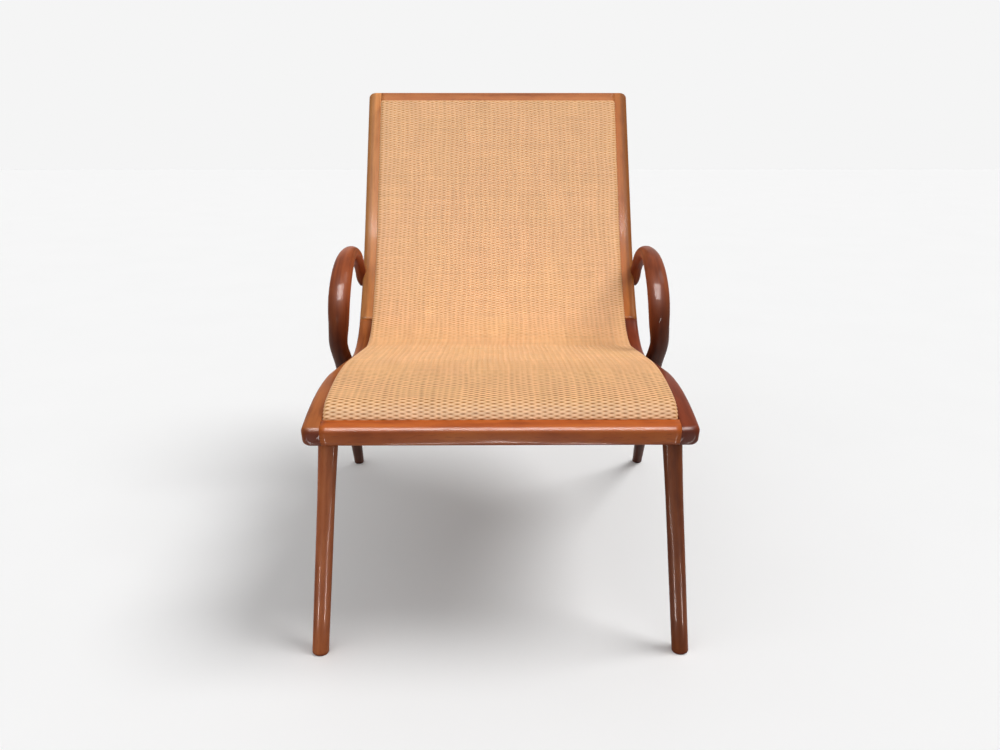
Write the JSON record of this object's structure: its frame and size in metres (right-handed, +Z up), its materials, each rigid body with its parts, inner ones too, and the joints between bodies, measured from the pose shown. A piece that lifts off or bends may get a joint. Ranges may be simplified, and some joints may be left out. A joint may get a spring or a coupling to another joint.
{
  "type": "planters chair",
  "caption": "Low reclined planters chair: one woven cane panel over seat and back in an S-curved wood frame, with looped arms that run down into the rear legs.",
  "frame": {"origin": "on the floor, in the middle of the whole width and of the whole depth", "axes": "the sitter faces -Y; +X is to the right of someone who faces the chair; +Z up"},
  "size_m": [0.7404, 0.8913, 0.8991],
  "materials": {
    "lacquered_wood": "gloss",
    "inner_wood": "satin",
    "dowel_wood": "matte",
    "cane": "satin",
    "zinc_steel": "satin",
    "brass": "satin"
  },
  "bodies": {
    "root": {"left_seat_rail": "lacquered_wood", "right_seat_rail": "lacquered_wood", "left_back_stile": "lacquered_wood", "right_back_stile": "lacquered_wood", "front_rail": "lacquered_wood", "top_rail": "lacquered_wood", "left_panel_seat_batten": "inner_wood", "right_panel_seat_batten": "inner_wood", "left_panel_back_batten": "inner_wood", "right_panel_back_batten": "inner_wood", "panel_front_batten": "inner_wood", "panel_top_batten": "inner_wood", "panel_bend_batten": "inner_wood", "panel_seat_brace": "inner_wood", "panel_back_brace": "inner_wood", "cane_panel": "cane", "seat_stretcher": "inner_wood", "bend_stretcher": "inner_wood", "back_stretcher": "inner_wood", "left_corner_block": "inner_wood", "right_corner_block": "inner_wood", "front_rail_dowels": "dowel_wood", "top_rail_dowels": "dowel_wood", "stretcher_dowels": "dowel_wood", "panel_dowels": "inner_wood", "joint_tenons": "dowel_wood", "left_front_leg": "lacquered_wood", "right_front_leg": "lacquered_wood", "left_arm_leg": "lacquered_wood", "right_arm_leg": "lacquered_wood", "leg_bolts": "zinc_steel", "leg_bolt_washers": "zinc_steel", "leg_inserts": "brass", "arm_tip_screws": "zinc_steel", "arm_screw_plugs": "lacquered_wood", "corner_block_screws": "zinc_steel", "panel_screws": "zinc_steel"}
  },
  "joints": []
}
